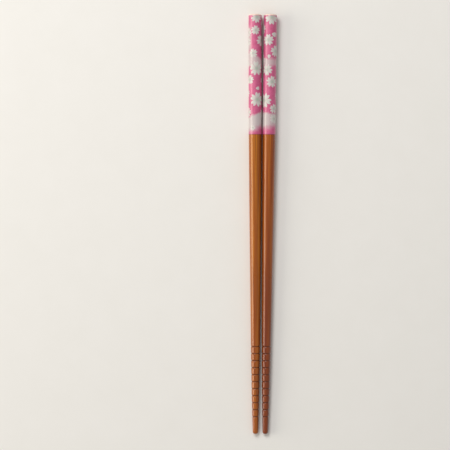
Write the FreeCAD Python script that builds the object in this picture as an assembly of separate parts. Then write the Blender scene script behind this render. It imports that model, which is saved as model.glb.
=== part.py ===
import FreeCAD, Part
import math
import os

# A pair of round bamboo chopsticks with printed handles, lying side by side on a surface.
# Lengths are in millimetres and angles in degrees. +Z is up, +Y points at the butt ends, and the
# origin lies on the surface under the middle of the pair.

# The turned bamboo stick, from the butt to the tip.
stick_length = 225.0
handle_diameter = 6.94
butt_edge_radius = 0.8
shaft_swell = 0.08
grip_start_diameter = 4.92
grip_end_diameter = 3.46
grip_swell = 0.08
tip_diameter = 3.0
tip_edge_radius = 1.2

# The grip rings, turned into the bamboo and counted back from the tip.
ring_count = 11
last_ring_to_tip = 9.4
ring_pitch = 3.76
ring_width = 0.9
ring_depth = 0.28

# The printed film shrunk on the handle, from the butt's rounded edge down, and the white ink on it.
film_length = 63.6
film_thickness = 0.1
ink_thickness = 0.05

# The motifs of the print: cherry blossoms of five blunt petals, and loose petals.
petal_count = 5
large_blossom_radius = 4.0
medium_blossom_radius = 3.2
small_blossom_radius = 2.6
loose_petal_radius = 1.4
petal_tip_spread = 15.0
petal_valley_share = 0.42
loose_petal_side_share = 0.7

# How the two sticks lie: the clear gaps between them at the two ends.
butt_gap = 1.1
tip_gap = 2.25

# Values worked out from those above. Those along a stick are measured from its butt.
film_start = butt_edge_radius
film_end = film_start + film_length
film_radius = handle_diameter / 2 + film_thickness
grip_end = stick_length - last_ring_to_tip + ring_width / 2
grip_length = (ring_count - 1) * ring_pitch + ring_width
grip_start = grip_end - grip_length
shaft_length = grip_start - film_end
tool_reach = handle_diameter

# How finely the outline's curves are drawn: short curves to each swell and to each rounded edge.
curves_per_swell = 2
curves_per_round = 3

# Motifs on the side that faces up: size, turn about the stick from its top towards +X, share of the
# film's length from the butt, and spin.
front_motifs = {
    "left": [
        ("small", 12.0, 0.014, 10.0),
        ("small", 6.0, 0.119, 30.0),
        ("medium", 60.0, 0.201, 0.0),
        ("small", -20.0, 0.318, 50.0),
        ("large", 19.0, 0.438, 20.0),
        ("small", -48.0, 0.525, 35.0),
        ("petal", 27.0, 0.609, 100.0),
        ("large", 20.0, 0.710, 0.0),
    ],
    "right": [
        ("large", 12.0, 0.017, 55.0),
        ("petal", 34.0, 0.152, 80.0),
        ("medium", -14.0, 0.206, 15.0),
        ("medium", 47.0, 0.293, 40.0),
        ("small", -20.0, 0.440, 0.0),
        ("medium", 19.0, 0.549, 25.0),
        ("large", -40.0, 0.707, 5.0),
        ("small", 44.0, 0.777, 30.0),
    ],
}

# Motifs on the side that faces down, with the turn counted from the underside.
back_motifs = [
    ("medium", 20.0, 0.200, 0.0),
]

# The mist band round each film: shares of the film's length at its upper and lower edge, the share
# by which each edge dips on one side, and the turn of that side about the stick from its top.
mist_bands = {
    "left": (0.832, 0.945, 0.021, 0.027, 270.0),
    "right": (0.822, 0.936, -0.005, 0.011, 270.0),
}

origin = FreeCAD.Vector(0, 0, 0)
stick_axis = FreeCAD.Vector(0, 1, 0)


def swollen_radius(share, start_diameter, end_diameter, swell):
    """Radius part of the way along a cone that stands proud by the swell at its middle."""
    cone = (start_diameter + (end_diameter - start_diameter) * share) / 2
    return cone + 4 * swell * share * (1 - share)


def shaft_radius(along):
    share = (along - film_end) / shaft_length
    return swollen_radius(share, handle_diameter, grip_start_diameter, shaft_swell)


def grip_radius(along):
    share = (along - grip_start) / grip_length
    return swollen_radius(share, grip_start_diameter, grip_end_diameter, grip_swell)


def profile_point(along, radius):
    return FreeCAD.Vector(radius, -along, 0)


def line(start, end):
    return Part.LineSegment(start, end).toShape()


def curve(*poles):
    """Straight stretch of the outline's side from two poles, or a parabola from three."""
    bezier = Part.BezierCurve()
    bezier.setPoles(list(poles))
    return bezier.toShape()


def shaft_edges():
    """The shaft's swollen taper, from the film's lower edge to the first ring. The pole between two
    points of a parabola lies above their middle by as much as the parabola does, once more."""
    edges = []
    step = shaft_length / curves_per_swell
    for number in range(curves_per_swell):
        start_along = film_end + number * step
        end_along = start_along + step
        chord_radius = (shaft_radius(start_along) + shaft_radius(end_along)) / 2
        middle_radius = shaft_radius(start_along + step / 2)
        start = profile_point(start_along, shaft_radius(start_along))
        pole = profile_point(start_along + step / 2, 2 * middle_radius - chord_radius)
        end = profile_point(end_along, shaft_radius(end_along))
        edges.append(curve(start, pole, end))
    return edges


def ring_edges():
    """V grooves from the grip's start to its end, with a land of the grip between each two."""
    edges = []
    for number in range(ring_count):
        near_along = grip_start + number * ring_pitch
        middle = near_along + ring_width / 2
        far_along = near_along + ring_width
        next_along = near_along + ring_pitch
        near_edge = profile_point(near_along, grip_radius(near_along))
        floor = profile_point(middle, grip_radius(middle) - ring_depth)
        far_edge = profile_point(far_along, grip_radius(far_along))
        edges += [curve(near_edge, floor), curve(floor, far_edge)]
        if number < ring_count - 1:
            edges.append(curve(far_edge, profile_point(next_along, grip_radius(next_along))))
    return edges


def rounded_edge(end_along, side_radius, edge_radius, end_side):
    """Quarter round between a flat end and the side, drawn as short curves from the flat to the
    side. Their middle poles lie where the tangents meet. end_side is -1 at the butt, 1 at the tip."""
    centre_along = end_along - end_side * edge_radius
    centre_radius = side_radius - edge_radius
    step = math.radians(90) / curves_per_round

    def round_point(angle, reach):
        along = centre_along + end_side * reach * math.cos(angle)
        return profile_point(along, centre_radius + reach * math.sin(angle))

    edges = []
    for number in range(curves_per_round):
        angle = number * step
        start = round_point(angle, edge_radius)
        pole = round_point(angle + step / 2, edge_radius / math.cos(step / 2))
        edges.append(curve(start, pole, round_point(angle + step, edge_radius)))
    return edges


def bamboo_stick():
    """One turned stick: its outline from the butt's centre to the tip's, turned about its axis."""
    handle_radius = handle_diameter / 2
    tip_radius = tip_diameter / 2
    butt_centre = profile_point(0, 0)
    butt_flat_edge = profile_point(0, handle_radius - butt_edge_radius)
    butt_side = profile_point(butt_edge_radius, handle_radius)
    handle_end = profile_point(film_end, handle_radius)
    grip_end_point = profile_point(grip_end, grip_end_diameter / 2)
    tip_side = profile_point(stick_length - tip_edge_radius, tip_radius)
    tip_flat_edge = profile_point(stick_length, tip_radius - tip_edge_radius)
    tip_centre = profile_point(stick_length, 0)
    outline = [line(butt_centre, butt_flat_edge)]
    outline += rounded_edge(0, handle_radius, butt_edge_radius, -1)
    outline.append(curve(butt_side, handle_end))
    outline += shaft_edges()
    outline += ring_edges()
    outline.append(curve(grip_end_point, tip_side))
    outline += rounded_edge(stick_length, tip_radius, tip_edge_radius, 1)
    outline += [line(tip_flat_edge, tip_centre), line(tip_centre, butt_centre)]
    section = Part.Face(Part.Wire(Part.sortEdges(outline)[0]))
    return section.revolve(origin, stick_axis, 360)


def sleeve(inner_radius, thickness):
    """Thin even tube over the whole length of the film."""
    foot = FreeCAD.Vector(0, -film_end, 0)
    outer = Part.makeCylinder(inner_radius + thickness, film_length, foot, stick_axis)
    return outer.cut(Part.makeCylinder(inner_radius, film_length, foot, stick_axis))


def polar(radius, angle):
    return radius * math.cos(math.radians(angle)), radius * math.sin(math.radians(angle))


def blossom_outline(radius, spin):
    """Five blunt petals round a centre, with a valley between each two."""
    half_petal = 180.0 / petal_count
    points = []
    for petal in range(petal_count):
        middle = spin + petal * 2 * half_petal
        points.append(polar(petal_valley_share * radius, middle - half_petal))
        points.append(polar(radius, middle - petal_tip_spread))
        points.append(polar(radius, middle + petal_tip_spread))
    return points


def loose_petal_outline(radius, spin):
    """One fallen petal: a narrow foot, full sides and a blunt end."""
    side_radius = loose_petal_side_share * radius
    return [
        polar(radius, spin + 180.0),
        polar(side_radius, spin - 90.0),
        polar(radius, spin - 2 * petal_tip_spread),
        polar(radius, spin + 2 * petal_tip_spread),
        polar(side_radius, spin + 90.0),
    ]


def motif_tool(kind, turn, share, spin):
    """Prism through one side of the film. Its section is drawn narrower towards its sides, by the
    sine of the arc, so that on the round handle the motif keeps its true outline."""
    blossom_radii = {
        "large": large_blossom_radius,
        "medium": medium_blossom_radius,
        "small": small_blossom_radius,
    }
    if kind == "petal":
        outline = loose_petal_outline(loose_petal_radius, spin)
    else:
        outline = blossom_outline(blossom_radii[kind], spin)
    along = film_start + share * film_length
    height = film_radius / 3
    corners = []
    for across, down in outline:
        corners.append(FreeCAD.Vector(film_radius * math.sin(across / film_radius), -along - down, height))
    section = Part.Face(Part.makePolygon(corners + corners[:1]))
    prism = section.extrude(FreeCAD.Vector(0, 0, tool_reach))
    prism.rotate(origin, stick_axis, turn)
    return prism


def mist_tool(upper_share, lower_share, upper_dip, lower_dip, turn):
    """Block between two slanted planes, which cut the film in two gentle waves."""
    upper = film_start + upper_share * film_length
    lower = film_start + lower_share * film_length
    upper_slant = upper_dip * film_length
    lower_slant = lower_dip * film_length
    corners = [
        FreeCAD.Vector(-tool_reach, -(upper - upper_slant), -tool_reach),
        FreeCAD.Vector(-tool_reach, -(upper + upper_slant), tool_reach),
        FreeCAD.Vector(-tool_reach, -(lower + lower_slant), tool_reach),
        FreeCAD.Vector(-tool_reach, -(lower - lower_slant), -tool_reach),
    ]
    section = Part.Face(Part.makePolygon(corners + corners[:1]))
    block = section.extrude(FreeCAD.Vector(2 * tool_reach, 0, 0))
    block.rotate(origin, stick_axis, turn)
    return block


def printed_film(side):
    """The film in its two flush colours, and the white motifs that lie on it."""
    film = sleeve(handle_diameter / 2, film_thickness)
    mist = mist_tool(*mist_bands[side])
    motifs = [motif_tool(*motif) for motif in front_motifs[side]]
    for kind, turn, share, spin in back_motifs:
        motifs.append(motif_tool(kind, 180.0 + turn, share, spin))
    ink = sleeve(film_radius, ink_thickness)
    return film.cut(mist), film.common(mist), ink.common(Part.makeCompound(motifs))


def resting_slope():
    """Slope of the line under a lying stick. It touches the film's lower edge, which is proud by the
    film, and the shaft where the parabola has fallen away by that much, or at worst the grip."""
    touch_share = min(1.0, math.sqrt(film_thickness / (4 * shaft_swell)))
    touch_run = touch_share * shaft_length
    return (film_radius - shaft_radius(film_end + touch_run)) / touch_run


def lay_down(shape, side):
    """Put a stick on the surface, where it rests on the film's lower edge and on the swell of the
    shaft, then toe it in and set it beside the other one."""
    tilt = math.atan(resting_slope())
    height = film_end * math.sin(tilt) + film_radius * math.cos(tilt)
    butt_offset = film_radius + butt_gap / 2
    tip_offset = (tip_diameter + tip_gap) / 2
    level_length = stick_length * math.cos(tilt)
    toe_in = math.asin((butt_offset - tip_offset) / level_length)
    sign = {"left": -1, "right": 1}[side]
    laid = shape.copy()
    laid.rotate(origin, FreeCAD.Vector(1, 0, 0), math.degrees(tilt))
    laid.rotate(origin, FreeCAD.Vector(0, 0, 1), -sign * math.degrees(toe_in))
    laid.translate(FreeCAD.Vector(sign * butt_offset, level_length * math.cos(toe_in) / 2, height))
    return laid


def write_node(name, shape, side):
    lay_down(shape, side).exportStep("parts/" + name + "_" + side + ".step")


os.makedirs("parts", exist_ok=True)
for side in ("left", "right"):
    ground, mist, motifs = printed_film(side)
    write_node("stick", bamboo_stick(), side)
    write_node("film", ground, side)
    write_node("mist", mist, side)
    write_node("blossoms", motifs, side)
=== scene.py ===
import math

import bpy
import numpy as np
from mathutils import Matrix, Vector


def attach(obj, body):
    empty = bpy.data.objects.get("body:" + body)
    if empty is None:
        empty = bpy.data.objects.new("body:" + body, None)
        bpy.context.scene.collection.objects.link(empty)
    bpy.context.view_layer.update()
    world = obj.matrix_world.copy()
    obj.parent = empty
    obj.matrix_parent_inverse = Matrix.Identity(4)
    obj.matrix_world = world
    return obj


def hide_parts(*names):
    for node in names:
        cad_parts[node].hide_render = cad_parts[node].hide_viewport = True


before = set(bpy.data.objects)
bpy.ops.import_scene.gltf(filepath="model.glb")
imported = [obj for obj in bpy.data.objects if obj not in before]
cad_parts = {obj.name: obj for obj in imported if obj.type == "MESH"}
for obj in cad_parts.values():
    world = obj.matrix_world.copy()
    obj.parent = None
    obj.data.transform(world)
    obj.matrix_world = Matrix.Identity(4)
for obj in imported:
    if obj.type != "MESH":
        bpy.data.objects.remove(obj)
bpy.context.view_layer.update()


print("frame: loaded", len(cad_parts), "nodes")

mm = 0.001  # the frame is in metres, and the sizes below are in millimetres
fullTurn = 2 * math.pi

# Where each stick lies: the middle of its butt and the middle of its tip.
sticksLie = {
    "left": {"butt": (-4.12, 112.4927, 4.16617), "tip": (-2.625, -112.4927, 2.08275)},
    "right": {"butt": (4.12, 112.4927, 4.16617), "tip": (2.625, -112.4927, 2.08275)},
}


def stickAxes(side):
    # Along runs from the butt to the tip. Across is level, to the right seen from above, and up is
    # square to both.
    butt = np.array(sticksLie[side]["butt"])
    along = np.array(sticksLie[side]["tip"]) - butt
    along = along / np.linalg.norm(along)
    across = np.cross((0.0, 0.0, 1.0), along)
    across = across / np.linalg.norm(across)
    return butt, across, along, np.cross(along, across)


def onStick(side, distance, turn, radius):
    # Butt plus the distance along the axis, plus the radius turned from the top towards the right.
    butt, across, along, up = stickAxes(side)
    given = np.broadcast_arrays(distance, turn, radius)
    distance, turn, radius = (value[..., None] for value in given)
    around = np.sin(turn) * across + np.cos(turn) * up
    return (butt + distance * along + radius * around) * mm


# Meshes.


def skin(name, points, poles=None, looped=False, uv=None, values=None):
    # Quads over a grid of rows and columns whose columns close on themselves. The rows end in two
    # pole points, or loop back to the first row. uv and values hold one entry for each grid point.
    rows, columns = points.shape[:2]
    row, column = np.indices((rows if looped else rows - 1, columns))
    cornerRows = np.stack([row, row + 1, row + 1, row], -1).reshape(-1, 4) % rows
    cornerColumns = np.stack([column, column, column + 1, column + 1], -1).reshape(-1, 4)
    vertices = points.reshape(-1, 3)
    faces = (cornerRows * columns + cornerColumns % columns).tolist()
    here = np.arange(columns)
    after = (here + 1) % columns
    if poles is not None:
        first, last = rows * columns, rows * columns + 1
        lastRow = (rows - 1) * columns
        faces += np.stack([np.full(columns, first), here, after], -1).tolist()
        faces += np.stack([np.full(columns, last), lastRow + after, lastRow + here], -1).tolist()
        vertices = np.concatenate([vertices, np.array(poles)])
    mesh = bpy.data.meshes.new(name)
    mesh.from_pydata(vertices.tolist(), [], faces)
    mesh.polygons.foreach_set("use_smooth", np.ones(len(mesh.polygons), bool))
    if uv is not None:
        # Past the seam, a looped grid's first column is one turn further on.
        pastSeam = uv[:, :1] + np.array([1.0 if looped else 0.0, 0.0])
        wide = np.concatenate([uv, pastSeam], 1)
        corners = [wide[cornerRows, cornerColumns].reshape(-1, 2)]
        if poles is not None:
            for rim, near, far in ((uv[0], here, after), (uv[-1], after, here)):
                middle = np.broadcast_to(rim.mean(0), rim.shape)
                corners.append(np.stack([middle, rim[near], rim[far]], 1).reshape(-1, 2))
        layer = mesh.uv_layers.new(name="surface")
        layer.data.foreach_set("uv", np.concatenate(corners).ravel())
    for key, grid in (values or {}).items():
        data = np.zeros(len(mesh.vertices))
        data[: rows * columns] = grid.ravel()
        mesh.attributes.new(key, "FLOAT", "POINT").data.foreach_set("value", data)
    return mesh


def joinMeshes(name, meshes):
    # One mesh of several, with their UV maps kept.
    parts = [bpy.data.objects.new("part", mesh) for mesh in meshes]
    for part in parts:
        bpy.context.scene.collection.objects.link(part)
    chosen = {"selected_objects": parts, "selected_editable_objects": parts}
    with bpy.context.temp_override(active_object=parts[0], object=parts[0], **chosen):
        bpy.ops.object.join()
    mesh = parts[0].data
    mesh.name = name
    bpy.data.objects.remove(parts[0])
    return mesh


def setPiece(name, mesh, finish, slot, *nodes):
    # The mesh in the scene with its finish, in place of the CAD nodes that it stands for.
    piece = bpy.data.objects.new(name, mesh)
    bpy.context.scene.collection.objects.link(piece)
    piece.data.materials.append(finish)
    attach(piece, "root")
    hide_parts(*nodes)


# Small helpers for the node trees.


def paint(red, green, blue):
    # A colour as the eye reads it, 0 to 255, turned into the light it stands for.
    share = np.array([red, green, blue]) / 255
    light = np.where(share <= 0.04045, share / 12.92, ((share + 0.055) / 1.055) ** 2.4)
    return (*light.tolist(), 1.0)


def feed(tree, socket, value):
    # A link where the value is another node's output, and else the socket's own value.
    if isinstance(value, bpy.types.NodeSocket):
        tree.links.new(value, socket)
    else:
        socket.default_value = value


def calc(tree, operation, *values, clamp=False):
    node = tree.nodes.new("ShaderNodeMath")
    node.operation = operation
    node.use_clamp = clamp
    for socket, value in zip(node.inputs, values):
        feed(tree, socket, value)
    return node.outputs[0]


def vectorCalc(tree, operation, *values):
    node = tree.nodes.new("ShaderNodeVectorMath")
    node.operation = operation
    for socket, value in zip(node.inputs, values):
        feed(tree, socket, value)
    return node.outputs[0]


def rise(tree, value, low, high, start=0.0, end=1.0):
    # Smooth step from start at low to end at high.
    node = tree.nodes.new("ShaderNodeMapRange")
    node.interpolation_type = "SMOOTHSTEP"
    for socket, given in zip(node.inputs, (value, low, high, start, end)):
        feed(tree, socket, given)
    return node.outputs[0]


def blend(tree, share, first, second):
    # The first colour where the share is 0, and the second where it is 1.
    node = tree.nodes.new("ShaderNodeMix")
    node.data_type = "RGBA"
    feed(tree, node.inputs[0], share)
    feed(tree, node.inputs[6], first)
    feed(tree, node.inputs[7], second)
    return node.outputs[2]


def noise(tree, vector, scale, detail, roughness):
    node = tree.nodes.new("ShaderNodeTexNoise")
    feed(tree, node.inputs["Vector"], vector)
    node.inputs["Scale"].default_value = scale
    node.inputs["Detail"].default_value = detail
    node.inputs["Roughness"].default_value = roughness
    return node.outputs[0]


def attribute(tree, name):
    node = tree.nodes.new("ShaderNodeAttribute")
    node.attribute_name = name
    return node.outputs["Fac"]


def surfacePlace(tree):
    # The two parts of the piece's own UV map.
    uv = tree.nodes.new("ShaderNodeUVMap")
    uv.uv_map = "surface"
    parts = tree.nodes.new("ShaderNodeSeparateXYZ")
    feed(tree, parts.inputs[0], uv.outputs[0])
    return parts.outputs["X"], parts.outputs["Y"]


def addBump(tree, shader, height, distance, strength):
    bump = tree.nodes.new("ShaderNodeBump")
    bump.inputs["Distance"].default_value = distance
    bump.inputs["Strength"].default_value = strength
    feed(tree, bump.inputs["Height"], height)
    feed(tree, shader.inputs["Normal"], bump.outputs[0])


def newGroup(name, takes, gives):
    # takes and gives: name of the socket, and its kind.
    tree = bpy.data.node_groups.new(name, "ShaderNodeTree")
    for label, kind in takes:
        tree.interface.new_socket(label, in_out="INPUT", socket_type="NodeSocket" + kind)
    for label, kind in gives:
        tree.interface.new_socket(label, in_out="OUTPUT", socket_type="NodeSocket" + kind)
    return tree, tree.nodes.new("NodeGroupInput").outputs, tree.nodes.new("NodeGroupOutput").inputs


def useGroup(tree, group, **values):
    node = tree.nodes.new("ShaderNodeGroup")
    node.node_tree = group
    for label, value in values.items():
        feed(tree, node.inputs[label], value)
    return node.outputs


def newFinish(name):
    finish = bpy.data.materials.new(name)
    finish.use_nodes = True
    return finish, finish.node_tree, finish.node_tree.nodes["Principled BSDF"]


def stickCoordinates(tree, side):
    # Object coordinates turned so that x runs across the stick, y back along it to the butt, z up.
    butt, across, along, up = stickAxes(side)
    turned = Matrix((across, -along, up)).transposed()
    node = tree.nodes.new("ShaderNodeMapping")
    node.vector_type = "TEXTURE"
    node.inputs["Location"].default_value = Vector(butt * mm)
    node.inputs["Rotation"].default_value = turned.to_euler()
    coordinates = tree.nodes.new("ShaderNodeTexCoord")
    feed(tree, node.inputs["Vector"], coordinates.outputs["Object"])
    return node.outputs[0]


# Effects that more than one finish uses. Scales are counts to a metre.


def fibreGroup():
    # Noise drawn out along the stick: pale and dark streaks, the dark bundles between them as the
    # middles of Voronoi cells, and a finer grain for the bump.
    takes = [("Vector", "Vector"), ("Across", "Float"), ("Along", "Float"), ("Bundle Size", "Float")]
    gives = [("Streaks", "Float"), ("Bundles", "Float"), ("Fine", "Float")]
    tree, takes, gives = newGroup("lengthwiseFibres", takes, gives)
    stretch = tree.nodes.new("ShaderNodeCombineXYZ")
    for socket, value in zip(stretch.inputs, (takes["Across"], takes["Along"], takes["Across"])):
        feed(tree, socket, value)
    stretched = vectorCalc(tree, "MULTIPLY", takes["Vector"], stretch.outputs[0])
    streaks = noise(tree, stretched, scale=1.0, detail=3.0, roughness=0.6)
    feed(tree, gives["Streaks"], rise(tree, streaks, 0.3, 0.7))
    feed(tree, gives["Fine"], noise(tree, stretched, scale=6.0, detail=2.0, roughness=0.6))
    cells = tree.nodes.new("ShaderNodeTexVoronoi")
    cells.feature = "F1"
    cells.inputs["Scale"].default_value = 1.7
    feed(tree, cells.inputs["Vector"], stretched)
    core = calc(tree, "MULTIPLY", takes["Bundle Size"], 0.4)
    feed(tree, gives["Bundles"], rise(tree, cells.outputs["Distance"], takes["Bundle Size"], core))
    return tree


def coatGroup():
    # Unevenness of a thin clear coat: its roughness, which is the gloss plus broad patches and a fine
    # grain times the spread, and the low waves that bend its reflections.
    takes = [("Vector", "Vector"), ("Gloss", "Float"), ("Spread", "Float")]
    gives = [("Roughness", "Float"), ("Height", "Float")]
    tree, takes, gives = newGroup("unevenCoat", takes, gives)
    patches = noise(tree, takes["Vector"], scale=90.0, detail=3.0, roughness=0.6)
    grain = noise(tree, takes["Vector"], scale=1400.0, detail=2.0, roughness=0.5)
    patchesShare = calc(tree, "MULTIPLY", patches, 0.7)
    both = calc(tree, "ADD", patchesShare, calc(tree, "MULTIPLY", grain, 0.3))
    uneven = calc(tree, "MULTIPLY", calc(tree, "SUBTRACT", both, 0.5), takes["Spread"])
    feed(tree, gives["Roughness"], calc(tree, "ADD", takes["Gloss"], uneven, clamp=True))
    feed(tree, gives["Height"], both)
    return tree


fibres = fibreGroup()
unevenCoat = coatGroup()


# The turned bamboo stick. Distances along it are from the butt.

bamboo = {
    "length": 225.0,
    "handleRadius": 3.47,
    "buttEdge": 0.8,
    "filmEnd": 64.4,
    "shaftSwell": 0.08,
    "gripStart": 177.55,
    "gripStartRadius": 2.46,
    "gripEnd": 216.05,
    "gripEndRadius": 1.73,
    "gripSwell": 0.08,
    "tipRadius": 1.5,
    "tipEdge": 1.2,
    "ringCount": 11,
    "firstRing": 178.0,
    "ringPitch": 3.76,
    "ringWidth": 0.95,
    "ringDepth": 0.24,
    "ringEase": 1.5,  # above 1, the groove's sides run out softly
    "landCrown": 0.01,  # how far the lands between the rings stand up
    "outOfRound": 0.03,
    "waves": ((2, 31.0), (3, -23.0)),  # how many round the stick, and the length in which they turn
    "wavePhase": {"left": 0.4, "right": 2.1},
    "columns": 128,
    "rows": {"face": 7, "edge": 9, "handle": 16, "shaft": 80, "grip": 420, "neck": 8},
    "fineMargin": 1.0,  # the close rows of the grip start and end this far outside it
    "poleRing": {"butt": 0.35, "tip": 0.15},  # radius of the row next to the middle of each end
    "tone": {
        "left": {
            "pale": (200, 124, 24), "dark": (152, 76, 14),
            "tipPale": (190, 106, 10), "tipDark": (138, 62, 6),
        },
        "right": {
            "pale": (190, 108, 22), "dark": (140, 62, 14),
            "tipPale": (150, 66, 8), "tipDark": (104, 36, 5),
        },
    },
    "bundles": (104, 44, 14),
    # painted shade in the rings' grooves
    "groove": (84, 38, 20),
    "tipTone": {"low": 0.3, "high": 0.85, "end": 0.85},  # shares of the length, and of the tip's tone
    "grain": {"Across": 900.0, "Along": 14.0, "Bundle Size": 0.42},
    "broadGrain": {"Across": 260.0, "Along": 9.0, "Bundle Size": 0.3},
    "pores": {"Across": 2400.0, "Along": 110.0, "Bundle Size": 0.2},
    "shows": {"broadGrain": 0.5, "bundles": 0.55, "pores": 0.7, "groove": 0.75},
    "lacquer": {"gloss": 0.3, "spread": 0.22, "butt": 0.55, "tip": 0.78, "lessInGroove": 0.55},
}


def swollen(share, start, end, swell):
    # Straight taper plus a swell that is a parabola, zero at both ends.
    return start + (end - start) * share + 4 * swell * share * (1 - share)


def sideRadius(distance):
    # The outline's side: even handle, swollen shaft, swollen grip, then an even taper to the tip.
    b = bamboo
    shaftShare = (distance - b["filmEnd"]) / (b["gripStart"] - b["filmEnd"])
    shaft = swollen(shaftShare, b["handleRadius"], b["gripStartRadius"], b["shaftSwell"])
    gripShare = (distance - b["gripStart"]) / (b["gripEnd"] - b["gripStart"])
    grip = swollen(gripShare, b["gripStartRadius"], b["gripEndRadius"], b["gripSwell"])
    neckShare = (distance - b["gripEnd"]) / (b["length"] - b["tipEdge"] - b["gripEnd"])
    neck = swollen(neckShare, b["gripEndRadius"], b["tipRadius"], 0.0)
    handle = np.full_like(distance, b["handleRadius"])
    places = [distance < b["filmEnd"], distance < b["gripStart"], distance < b["gripEnd"]]
    return np.select(places, [handle, shaft, grip], neck)


def grooveShare(distance):
    # One minus the square of the distance from the nearest ring over its half width, eased.
    b = bamboo
    number = np.round((distance - b["firstRing"]) / b["ringPitch"])
    nearest = b["firstRing"] + np.clip(number, 0, b["ringCount"] - 1) * b["ringPitch"]
    away = (distance - nearest) / (b["ringWidth"] / 2)
    return np.clip(1 - away**2, 0, 1) ** b["ringEase"]


def roundedEdge(end, side, edge, facing, count):
    # Quarter of a circle from the flat end to the side's radius, as distance and radius.
    angle = np.linspace(0, math.pi / 2, count)
    distance = end - facing * edge * (1 - np.cos(angle))
    return np.stack([distance, side - edge * (1 - np.sin(angle))], -1)


def stickMesh(side):
    # The outline, as distance and radius, turned about the axis. Its radius is a little out of round,
    # always inwards: two slow waves round the stick that turn along it.
    b = bamboo
    rows = b["rows"]
    faceEdge = b["handleRadius"] - b["buttEdge"]
    faceRadius = np.linspace(b["poleRing"]["butt"], faceEdge, rows["face"], endpoint=False)
    face = np.stack([np.zeros(rows["face"]), faceRadius], -1)
    butt = roundedEdge(0.0, b["handleRadius"], b["buttEdge"], -1, rows["edge"])
    fineStart, fineEnd = b["gripStart"] - b["fineMargin"], b["gripEnd"] + b["fineMargin"]
    tipSide = b["length"] - b["tipEdge"]
    stops = [b["buttEdge"], b["filmEnd"], fineStart, fineEnd, tipSide]
    counts = [rows["handle"], rows["shaft"], rows["grip"], rows["neck"]]
    runs = [np.linspace(*run)[1:] for run in zip(stops[:-1], stops[1:], counts)]
    distance = np.concatenate(runs)
    grooves = grooveShare(distance)
    onGrip = (distance > b["gripStart"]) & (distance < b["gripEnd"])
    radius = sideRadius(distance) - b["ringDepth"] * grooves + b["landCrown"] * onGrip * (1 - grooves)
    tip = roundedEdge(b["length"], b["tipRadius"], b["tipEdge"], 1, rows["edge"])[::-1][1:]
    tipRing = np.array([[b["length"], b["poleRing"]["tip"]]])
    outline = np.concatenate([face, butt, np.stack([distance, radius], -1), tip, tipRing])
    distance, radius = outline[:, :1], outline[:, 1:]
    turn = np.linspace(0, fullTurn, b["columns"], endpoint=False)[None, :]
    phase = b["wavePhase"][side]
    waves = [
        np.sin(count * turn + distance / length + number * phase)
        for number, (count, length) in enumerate(b["waves"], 1)
    ]
    inwards = b["outOfRound"] * (2 + sum(waves)) / 4
    points = onStick(side, distance, turn, radius - inwards * np.clip(radius, 0, 1))
    poles = onStick(side, np.array([0.0, b["length"]]), np.zeros(2), np.zeros(2))
    nearGrip = (distance > fineStart) & (distance < fineEnd)
    groove = grooveShare(distance) * nearGrip + 0 * turn
    along = distance / b["length"] + 0 * turn
    return skin("stick", points, poles, values={"groove": groove, "along": along})


def bambooFinish(side):
    # Two tones by the streaks, both darker towards the tip, then the dark bundles and pores, and painted
    # shade in the rings, under a lacquer that shines more towards the tip and less in the rings.
    b = bamboo
    tone = {key: paint(*colour) for key, colour in b["tone"][side].items()}
    shows = b["shows"]
    lacquer = b["lacquer"]
    finish, tree, shader = newFinish("lacqueredBamboo_" + side)
    place = stickCoordinates(tree, side)
    grain = useGroup(tree, fibres, Vector=place, **b["grain"])
    broadGrain = useGroup(tree, fibres, Vector=place, **b["broadGrain"])
    pores = useGroup(tree, fibres, Vector=place, **b["pores"])
    coat = useGroup(tree, unevenCoat, Vector=place, Gloss=lacquer["gloss"], Spread=lacquer["spread"])
    along = attribute(tree, "along")
    groove = attribute(tree, "groove")
    low, high = b["tipTone"]["low"], b["tipTone"]["high"]
    towardsTip = rise(tree, along, low, high, end=b["tipTone"]["end"])
    pale = blend(tree, towardsTip, tone["pale"], tone["tipPale"])
    dark = blend(tree, towardsTip, tone["dark"], tone["tipDark"])
    wood = blend(tree, grain["Streaks"], dark, pale)
    layers = [
        (broadGrain["Streaks"], shows["broadGrain"], dark),
        (grain["Bundles"], shows["bundles"], paint(*b["bundles"])),
        (pores["Bundles"], shows["pores"], paint(*b["bundles"])),
        # Painted shade in the rings.
        (groove, shows["groove"], paint(*b["groove"])),
    ]
    for mask, share, colour in layers:
        wood = blend(tree, calc(tree, "MULTIPLY", mask, share), wood, colour)
    feed(tree, shader.inputs["Base Color"], wood)
    feed(tree, shader.inputs["Roughness"], coat["Roughness"])
    shader.inputs["Specular IOR Level"].default_value = 0.2
    shine = rise(tree, along, low, high, lacquer["butt"], lacquer["tip"])
    shine = calc(tree, "MULTIPLY_ADD", groove, -lacquer["lessInGroove"], shine)
    feed(tree, shader.inputs["Coat Weight"], shine)
    shader.inputs["Coat Roughness"].default_value = 0.16
    shader.inputs["Coat IOR"].default_value = 1.54
    height = calc(tree, "ADD", grain["Fine"], coat["Height"])
    addBump(tree, shader, height, distance=0.00003, strength=0.5)
    return finish


for side in ("left", "right"):
    setPiece("bambooStick_" + side, stickMesh(side), bambooFinish(side), "bamboo", "stick_" + side)
print("sticks: made")


# The printed film shrunk on the handle. Shares are of its length, from the butt.

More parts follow.
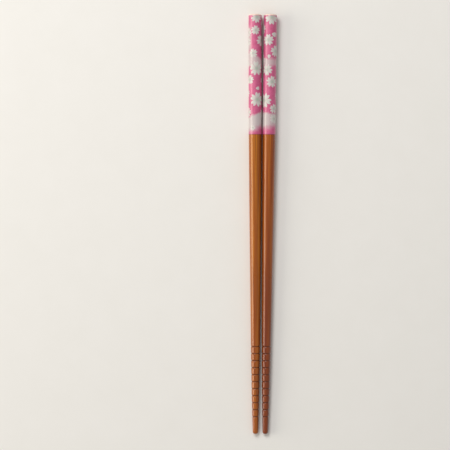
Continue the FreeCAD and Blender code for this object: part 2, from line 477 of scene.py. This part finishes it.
film = {
    "start": bamboo["buttEdge"],
    "end": bamboo["filmEnd"],
    "inner": 3.475,
    "outer": 3.55,
    "lap": 0.018,  # the film is doubled here, on the side that faces down
    "lapTurn": math.radians(172),
    "lapWidth": 2.2,
    "lapStep": 0.15,
    "ripple": 0.005,
    "ripplePitches": (3.1, 7.7, 1.9),
    "edge": 0.03,
    "rollTurn": math.radians(55),  # how far round the butt's edge the film goes
    "columns": 192,
    "rows": {"outside": 220, "inside": 12, "roll": 12},
    "pink": (208, 98, 140),
    "pinkDeep": (196, 82, 126),
    "mist": (198, 191, 188),
    "underlying": (150, 90, 70),  # what little of the bamboo's streaks shows through
    "underlyingShows": 0.06,
    "rim": (238, 214, 196),  # painted highlight on the film's end, rolled over the butt's edge
    "rimStep": 0.002,  # moves the rolled end's shares clear of the side's
    "rimFull": 0.005,  # past this share the rim's painted highlight is full
    # The cut edge's colour, fade and share paint a shadow along the film's lower edge.
    "cutEdge": (96, 44, 52),
    "cutEdgeFade": (0.9945, 0.998),
    "cutEdgeShows": 0.6,
    "ragged": 0.05,
    "coat": {"Gloss": 0.3, "Spread": 0.2},
    # Shares of each band's edges, how far they dip on one side and fade either way, the turn of that
    # side in degrees, and the band's strength there and on the side across.
    "bands": {
        "left": [
            # The first band paints a pale patch on the left side only, near the butt.
            {"Upper": 0.105, "Upper Dip": 0.0, "Upper Fade": 0.030,
             "Lower": 0.300, "Lower Dip": 0.0, "Lower Fade": 0.030,
             "Dip Turn": 270.0, "Strength": 0.8, "Far Strength": -4.4},
            {"Upper": 0.345, "Upper Dip": -0.035, "Upper Fade": 0.016,
             "Lower": 0.418, "Lower Dip": 0.012, "Lower Fade": 0.018,
             "Dip Turn": 290.0, "Strength": 0.85, "Far Strength": 0.65},
            {"Upper": 0.832, "Upper Dip": 0.021, "Upper Fade": 0.014,
             "Lower": 0.952, "Lower Dip": 0.024, "Lower Fade": 0.036,
             "Dip Turn": 270.0, "Strength": 0.95, "Far Strength": 0.9},
        ],
        "right": [
            {"Upper": 0.362, "Upper Dip": -0.004, "Upper Fade": 0.016,
             "Lower": 0.420, "Lower Dip": 0.004, "Lower Fade": 0.020,
             "Dip Turn": 290.0, "Strength": 0.85, "Far Strength": 0.55},
            {"Upper": 0.822, "Upper Dip": -0.005, "Upper Fade": 0.014,
             "Lower": 0.936, "Lower Dip": 0.011, "Lower Fade": 0.030,
             "Dip Turn": 270.0, "Strength": 0.95, "Far Strength": 0.75},
        ],
    },
}


def rolled(radius):
    # Arc round the middle of the butt's rounded edge, from the side towards the end face.
    angle = np.linspace(0, film["rollTurn"], film["rows"]["roll"])[1:]
    middle = bamboo["handleRadius"] - bamboo["buttEdge"]
    reach = radius - middle
    return np.stack([film["start"] - reach * np.sin(angle), middle + reach * np.cos(angle)], -1)


def filmMesh(side):
    # A sleeve. Its outline runs down the outside, round the cut edge, back up the inside and round the
    # rolled end again. The lap is a smooth step up and down, and the ripple is three slow waves crossed.
    start, end, outer, lip = film["start"], film["end"], film["outer"], film["edge"]
    rows = film["rows"]
    outside = np.linspace((start, outer), (end - lip, outer), rows["outside"])
    cutEdge = np.array([[end - 0.3 * lip, outer - 0.3 * lip], [end, outer - lip]])
    inside = np.linspace((end, film["inner"]), (start, film["inner"]), rows["inside"])
    rollOut = rolled(outer)[::-1]
    outline = np.concatenate([outside, cutEdge, inside, rolled(film["inner"]), rollOut])
    distance, radius = outline[:, :1], outline[:, 1:]
    turn = np.linspace(0, fullTurn, film["columns"], endpoint=False)[None, :]
    aside = np.abs((turn - film["lapTurn"] + math.pi) % fullTurn - math.pi) * outer
    lap = film["lap"] * np.clip((film["lapWidth"] / 2 - aside) / film["lapStep"] + 0.5, 0, 1)
    first, second, third = film["ripplePitches"]
    crossed = np.sin(distance / first + 2 * turn) * np.sin(distance / second - 3 * turn)
    wave = crossed + 0.5 * np.sin(distance / third + turn)
    ripple = film["ripple"] * (wave - 1.0) * np.clip(distance - start, 0, 1)
    onOutside = np.arange(len(outline))[:, None] < len(outside) + len(cutEdge)
    points = onStick(side, distance, turn, radius + onOutside * (lap + ripple))
    share = (distance - start) / (end - start)
    share[-len(rollOut):] -= film["rimStep"]
    uv = np.stack(np.broadcast_arrays(turn / fullTurn, share), -1)
    return skin("film", points, looped=True, uv=uv)


def mistGroup():
    # One soft band of mist round the film: a smooth step up at the upper edge less one at the lower
    # edge. Each edge moves by its dip times the cosine of the turn from the side that dips.
    labels = ("Turn", "Share", "Ragged", "Upper", "Lower", "Upper Dip", "Lower Dip",
              "Upper Fade", "Lower Fade", "Dip Turn", "Strength", "Far Strength")
    tree, takes, gives = newGroup("mistBand", [(label, "Float") for label in labels], [("Mask", "Float")])
    dip = calc(tree, "COSINE", calc(tree, "SUBTRACT", takes["Turn"], takes["Dip Turn"]))
    strength = rise(tree, dip, -1.0, 1.0, takes["Far Strength"], takes["Strength"])
    steps = []
    for edge in ("Upper", "Lower"):
        middle = calc(tree, "MULTIPLY_ADD", dip, takes[edge + " Dip"], takes[edge])
        middle = calc(tree, "ADD", middle, takes["Ragged"])
        low = calc(tree, "SUBTRACT", middle, takes[edge + " Fade"])
        high = calc(tree, "ADD", middle, takes[edge + " Fade"])
        steps.append(rise(tree, takes["Share"], low, high))
    band = calc(tree, "SUBTRACT", *steps, clamp=True)
    feed(tree, gives["Mask"], calc(tree, "MULTIPLY", band, strength))
    return tree


mistBand = mistGroup()


def filmFinish(side):
    # Two close pinks in patches, the mist over them, then a painted shadow at the cut edge and a painted
    # highlight on the rolled rim.
    painted = ("pink", "pinkDeep", "mist", "underlying", "cutEdge", "rim")
    colour = {key: paint(*film[key]) for key in painted}
    finish, tree, shader = newFinish("printedFilm_" + side)
    place = stickCoordinates(tree, side)
    around, share = surfacePlace(tree)
    turn = calc(tree, "MULTIPLY", around, fullTurn)
    unevenness = noise(tree, place, scale=420.0, detail=3.0, roughness=0.6)
    ragged = calc(tree, "MULTIPLY", calc(tree, "SUBTRACT", unevenness, 0.5), film["ragged"])
    mist = 0.0
    for band in film["bands"][side]:
        given = {**band, "Dip Turn": math.radians(band["Dip Turn"])}
        made = useGroup(tree, mistBand, Turn=turn, Share=share, Ragged=ragged, **given)
        mist = calc(tree, "MAXIMUM", mist, made["Mask"])
    grain = useGroup(tree, fibres, Vector=place, **bamboo["grain"])
    coat = useGroup(tree, unevenCoat, Vector=place, **film["coat"])
    patches = rise(tree, noise(tree, place, scale=300.0, detail=4.0, roughness=0.7), 0.35, 0.65)
    through = calc(tree, "MULTIPLY", grain["Streaks"], film["underlyingShows"])
    # Painted shadow along the film's cut edge.
    cutEdge = rise(tree, share, *film["cutEdgeFade"], end=film["cutEdgeShows"])
    # Painted highlight on the rolled rim.
    rim = rise(tree, share, -film["rimStep"], -film["rimFull"])
    ink = blend(tree, patches, colour["pink"], colour["pinkDeep"])
    ink = blend(tree, mist, ink, colour["mist"])
    ink = blend(tree, through, ink, colour["underlying"])
    ink = blend(tree, cutEdge, ink, colour["cutEdge"])
    ink = blend(tree, rim, ink, colour["rim"])
    feed(tree, shader.inputs["Base Color"], ink)
    feed(tree, shader.inputs["Roughness"], coat["Roughness"])
    shader.inputs["Coat Weight"].default_value = 0.5
    shader.inputs["Coat Roughness"].default_value = 0.2
    height = calc(tree, "ADD", calc(tree, "MULTIPLY", grain["Fine"], 0.4), coat["Height"])
    addBump(tree, shader, height, distance=0.00004, strength=0.4)
    return finish


for side in ("left", "right"):
    nodes = ("film_" + side, "mist_" + side)
    setPiece("printedFilm_" + side, filmMesh(side), filmFinish(side), "pink_ground", *nodes)
print("films: made")


# The blossoms and loose petals printed on the film.

blossoms = {
    "radii": {"large": 4.0, "medium": 3.2, "small": 2.6, "tiny": 1.5, "petal": 1.5, "bud": 1.1},
    "loose": ("petal", "bud"),  # single fallen petals
    "petals": 5,
    # A petal's half outline from its middle to its side: share of the half angle, share of the radius.
    "petalOutline": [
        (0.0, 0.70), (0.12, 0.82), (0.32, 1.0), (0.48, 0.99), (0.7, 0.85), (0.88, 0.66), (1.0, 0.42),
    ],
    "looseOutline": [
        (0.0, 0.80), (0.10, 0.92), (0.2, 1.0), (0.38, 0.86), (0.62, 0.68), (0.85, 0.78), (1.0, 1.0),
    ],
    "lie": film["outer"],
    "ink": 0.02,
    "sunk": 0.02,  # how far the motif's underside lies in the film
    "margin": 0.1,  # what is left free at the film's ends
    "columns": 100,
    "rings": (1 / 6, 2 / 6, 3 / 6, 4 / 6, 5 / 6, 0.97, 1.0),  # the last two make a crisp edge
    "edgeInk": 0.012,
    "white": (202, 201, 193),
    "heart": (168, 184, 168),
    "blush": (216, 182, 188),
    "stamen": (196, 120, 140),
    "crease": (206, 130, 154),
    "stamens": 15,
    # Shares of the petals' reach where each colour starts and is full, and the same for the waves
    # round the heart that draw the thin lines.
    "fades": {
        "blush": (0.5, 1.05), "heart": (0.42, 0.05), "stamens": (0.46, 0.40), "creases": (0.1, 0.3),
    },
    "lines": {"stamens": (0.55, 0.95), "creases": (-0.9, -1.0)},
    "shows": {"blush": 0.35, "stamens": 0.5, "creases": 0.6},
    "coat": {"Gloss": 0.34, "Spread": 0.2},
    # size, turn in degrees from the top towards the right, share of the film from the butt, spin
    "motifs": {
        "left": [
            ("medium", 12, 0.016, 10), ("small", 3, 0.125, 30), ("medium", 62, 0.211, 0),
            ("small", -20, 0.318, 50), ("large", 11, 0.445, 40), ("small", -52, 0.540, 35),
            ("bud", 22, 0.613, 100), ("large", 17, 0.707, 28), ("small", -76, 0.142, 20),
            ("small", -80, 0.222, 56), ("small", -80, 0.812, 20), ("tiny", -22, 0.945, 12),
            ("large", 150, 0.126, 33), ("medium", -153, 0.275, 5), ("small", 110, 0.307, 48),
            ("large", 155, 0.425, 60), ("small", -100, 0.409, 20), ("medium", 105, 0.547, 50),
            ("medium", -150, 0.574, 14), ("small", -98, 0.652, 28), ("large", 165, 0.723, 50),
            ("petal", 100, 0.652, 8), ("tiny", -152, 0.826, 22), ("medium", 100, 0.818, 40),
            ("tiny", 180, 0.912, 10), ("petal", -120, 0.032, 300), ("petal", 80, 0.063, 140),
        ],
        "right": [
            ("large", 11, 0.018, 0), ("petal", 36, 0.160, 80), ("medium", -18, 0.206, 35),
            ("medium", 54, 0.300, 40), ("medium", -27, 0.457, 0), ("medium", 19, 0.557, 25),
            ("large", -47, 0.714, 5), ("small", 42, 0.784, 30), ("bud", -9, 0.345, 170),
            ("small", 45, 0.868, 20), ("medium", -95, 0.110, 30), ("medium", 120, 0.142, 12),
            ("large", -155, 0.244, 60), ("small", 135, 0.346, 44), ("medium", -100, 0.370, 10),
            ("large", 165, 0.464, 33), ("petal", 90, 0.417, 210), ("medium", 120, 0.566, 52),
            ("small", -110, 0.527, 5), ("medium", -165, 0.632, 24), ("small", 100, 0.676, 40),
            ("large", 170, 0.755, 16), ("small", -120, 0.833, 20), ("petal", -95, 0.613, 120),
            ("tiny", 150, 0.880, 30), ("petal", -165, 0.024, 40),
        ],
    },
}


def motifMesh(side, kind, turn, share, spin):
    # A polar grid laid on the round film. Its edge is the petal's half outline, mirrored, repeated and
    # smoothed once, each point with half its own reach and a quarter of each neighbour's. Its top and
    # its underside are the same grid, an ink's height above the film and a little in it.
    b = blossoms
    loose = kind in b["loose"]
    size = b["radii"][kind]
    angle = np.linspace(0, fullTurn, b["columns"], endpoint=False)
    half = math.pi / (1 if loose else b["petals"])
    aside = np.abs((angle + half) % (2 * half) - half) / half
    reach = np.interp(aside, *np.array(b["looseOutline" if loose else "petalOutline"]).T)
    reach = (np.roll(reach, 1) + 2 * reach + np.roll(reach, -1)) / 4
    facing = angle + math.radians(spin)
    middle = film["start"] + share * (film["end"] - film["start"])
    # The print is cut at the film's ends, so the reach stops there.
    towardsButt = middle - film["start"] - b["margin"]
    towardsTip = film["end"] - b["margin"] - middle
    room = np.where(np.cos(facing) < 0, towardsButt, towardsTip)
    edge = np.minimum(size * reach, room / np.maximum(np.abs(np.cos(facing)), 0.001))
    rings = np.array(b["rings"])
    steps = np.concatenate([rings, rings[::-1]])[:, None]
    height = np.repeat((b["ink"], -b["sunk"]), len(rings))
    height[len(rings) - 1] = b["edgeInk"]
    across = steps * edge * np.sin(facing)
    down = steps * edge * np.cos(facing)
    faces = math.radians(turn) + across / b["lie"]
    points = onStick(side, middle + down, faces, b["lie"] + height[:, None])
    ends = b["lie"] + np.array([b["ink"], -b["sunk"]])
    poles = onStick(side, np.full(2, middle), np.full(2, math.radians(turn)), ends)
    # A loose petal takes its colours from the middle of a blossom's petal.
    shrink, shift = (0.3, 0.7) if loose else (1.0, 0.0)
    away = shrink * steps * edge / size
    uv = np.stack([away * np.sin(angle), shift + away * np.cos(angle)], -1)
    return skin("motif", points, poles, uv=uv)


def blossomFinish():
    # White that blushes towards the petals' ends and greys towards the heart, with thin stamens, and a
    # crease between each two petals. The UV map's middle is the heart, and 1 is the petals' reach.
    b = blossoms
    fades, lines, shows = b["fades"], b["lines"], b["shows"]
    colour = {key: paint(*b[key]) for key in ("white", "blush", "heart", "stamen", "crease")}
    finish, tree, shader = newFinish("whiteInk")
    x, y = surfacePlace(tree)
    squares = calc(tree, "ADD", calc(tree, "MULTIPLY", x, x), calc(tree, "MULTIPLY", y, y))
    away = calc(tree, "SQRT", squares)
    angle = calc(tree, "ARCTAN2", x, y)
    masks = {}
    for key, count in (("stamens", b["stamens"]), ("creases", b["petals"])):
        wave = calc(tree, "COSINE", calc(tree, "MULTIPLY", angle, float(count)))
        line = rise(tree, wave, *lines[key])
        line = calc(tree, "MULTIPLY", line, rise(tree, away, *fades[key]))
        masks[key] = calc(tree, "MULTIPLY", line, shows[key])
    blush = rise(tree, away, *fades["blush"], end=shows["blush"])
    ink = blend(tree, blush, colour["white"], colour["blush"])
    ink = blend(tree, rise(tree, away, *fades["heart"]), ink, colour["heart"])
    ink = blend(tree, masks["stamens"], ink, colour["stamen"])
    ink = blend(tree, masks["creases"], ink, colour["crease"])
    place = tree.nodes.new("ShaderNodeTexCoord").outputs["Object"]
    coat = useGroup(tree, unevenCoat, Vector=place, **b["coat"])
    feed(tree, shader.inputs["Base Color"], ink)
    feed(tree, shader.inputs["Roughness"], coat["Roughness"])
    shader.inputs["Coat Weight"].default_value = 0.5
    shader.inputs["Coat Roughness"].default_value = 0.2
    return finish


whiteInk = blossomFinish()
for side in ("left", "right"):
    motifs = [motifMesh(side, *motif) for motif in blossoms["motifs"][side]]
    printed = joinMeshes("blossoms_" + side, motifs)
    setPiece("blossomPrint_" + side, printed, whiteInk, "white_ink", "blossoms_" + side)
print("blossoms: made")


# Floor, light and camera. Places and sizes of the lights, and the floor's reach, are in metres.

studio = {
    "floor": (236, 233, 227),
    "floorPale": (240, 237, 232),
    "floorReach": 3.0,
    "fill": 0.38,
    "seen": 0.85,  # how bright the camera sees what lies past the floor
    "sky": (1.0, 0.995, 0.99, 1.0),
    "key": {"place": (-0.36, 0.6, 0.95), "size": (0.5, 0.5), "power": 7.4, "tint": (1.0, 1.0, 1.0)},
    "strip": {"place": (-1.1, 0.0, 0.44), "size": (0.7, 0.75), "power": 6.4, "tint": (1.0, 0.95, 0.83)},
    "lens": 150.0,
    "sensor": 36.0,
    "field": 241.2,  # what the picture's side covers, in mm, at the height of the sticks' middle
    "aim": (-19.6, -0.45, 3.5),
    "roll": 0.32,
}


def plainFloor():
    # One square under the sticks, in two close pale tones.
    reach = studio["floorReach"]
    corners = [(-reach, -reach, 0), (reach, -reach, 0), (reach, reach, 0), (-reach, reach, 0)]
    mesh = bpy.data.meshes.new("floor")
    mesh.from_pydata(corners, [], [(0, 1, 2, 3)])
    floor = bpy.data.objects.new("floor", mesh)
    bpy.context.scene.collection.objects.link(floor)
    finish, tree, shader = newFinish("paleFloor")
    place = tree.nodes.new("ShaderNodeTexCoord").outputs["Object"]
    patches = noise(tree, place, scale=60.0, detail=3.0, roughness=0.6)
    tone = blend(tree, patches, paint(*studio["floor"]), paint(*studio["floorPale"]))
    feed(tree, shader.inputs["Base Color"], tone)
    shader.inputs["Roughness"].default_value = 0.8
    floor.data.materials.append(finish)


def softbox(name, place, size, power, tint):
    # A plain rectangle of light that faces the middle of the pair.
    light = bpy.data.lights.new(name, "AREA")
    light.shape = "RECTANGLE"
    light.size, light.size_y = size
    light.energy = power
    light.color = tint
    lamp = bpy.data.objects.new(name, light)
    bpy.context.scene.collection.objects.link(lamp)
    lamp.location = place
    lamp.rotation_euler = (-Vector(place)).to_track_quat("-Z", "Y").to_euler()
    lamp.visible_camera = False


def fillLight():
    # Even light from all round, at the fill's strength, and brighter only where the camera sees it.
    world = bpy.data.worlds.new("studio")
    bpy.context.scene.world = world
    world.use_nodes = True
    tree = world.node_tree
    background = tree.nodes["Background"]
    background.inputs["Color"].default_value = studio["sky"]
    seen = tree.nodes.new("ShaderNodeLightPath").outputs["Is Camera Ray"]
    strength = calc(tree, "MULTIPLY_ADD", seen, studio["seen"] - studio["fill"], studio["fill"])
    feed(tree, background.inputs["Strength"], strength)


def setCamera():
    # Straight above, as far off as the field times the lens over the sensor's width.
    data = bpy.data.cameras.new("camera")
    data.lens = studio["lens"]
    data.sensor_width = studio["sensor"]
    data.clip_start, data.clip_end = 0.05, 20.0
    camera = bpy.data.objects.new("camera", data)
    bpy.context.scene.collection.objects.link(camera)
    x, y, z = (value * mm for value in studio["aim"])
    height = studio["field"] * mm * studio["lens"] / studio["sensor"]
    camera.location = (x, y, z + height)
    camera.rotation_euler = (0, 0, math.radians(studio["roll"]))
    bpy.context.scene.camera = camera


plainFloor()
softbox("keyLight", **studio["key"])
softbox("stripLight", **studio["strip"])
fillLight()
setCamera()
bpy.context.scene.view_settings.view_transform = "Standard"
print("studio: set")
